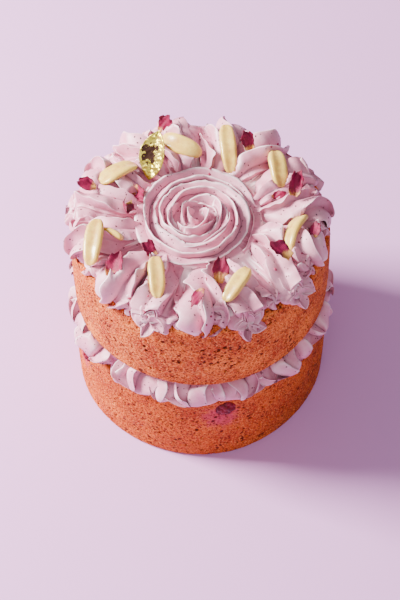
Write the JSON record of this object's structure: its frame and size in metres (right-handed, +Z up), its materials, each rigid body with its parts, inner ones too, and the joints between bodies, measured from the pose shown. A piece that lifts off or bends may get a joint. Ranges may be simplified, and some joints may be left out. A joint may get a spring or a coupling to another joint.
{
  "type": "naked layer cake",
  "caption": "Round naked cake: sponge layers, piped cream between and on top as shells round a rosette, with lychee strips, dried rose petals and a gold foil leaf.",
  "frame": {"origin": "centre of the lower sponge's flat bottom, on the surface the cake stands on", "axes": "+Z up along the cake's axis; -Y is the front, where the larger raspberry shows"},
  "size_m": [0.1601, 0.1622, 0.1628],
  "materials": {
    "sponge": null,
    "cream": null,
    "lychee": null,
    "petal": null,
    "raspberry": null,
    "gold": null
  },
  "bodies": {
    "root": {"sponge_lower": "sponge", "cream_filling": "cream", "sponge_upper": "sponge", "top_cream": "cream", "lychee_left": "lychee", "lychee_left_inner": "lychee", "lychee_back_left": "lychee", "lychee_back": "lychee", "lychee_back_right": "lychee", "lychee_right_back": "lychee", "lychee_right": "lychee", "lychee_front": "lychee", "lychee_front_right": "lychee", "petal_back_top": "petal", "petal_left": "petal", "petal_by_leaf": "petal", "petal_left_inner": "petal", "petal_left_front": "petal", "petal_front_left": "petal", "petal_front": "petal", "petal_fringe": "petal", "petal_back_right": "petal", "petal_right_small": "petal", "petal_right_back": "petal", "petal_right": "petal", "petal_right_outer": "petal", "raspberry_front": "raspberry", "raspberry_left": "raspberry", "gold_leaf": "gold"}
  },
  "joints": []
}
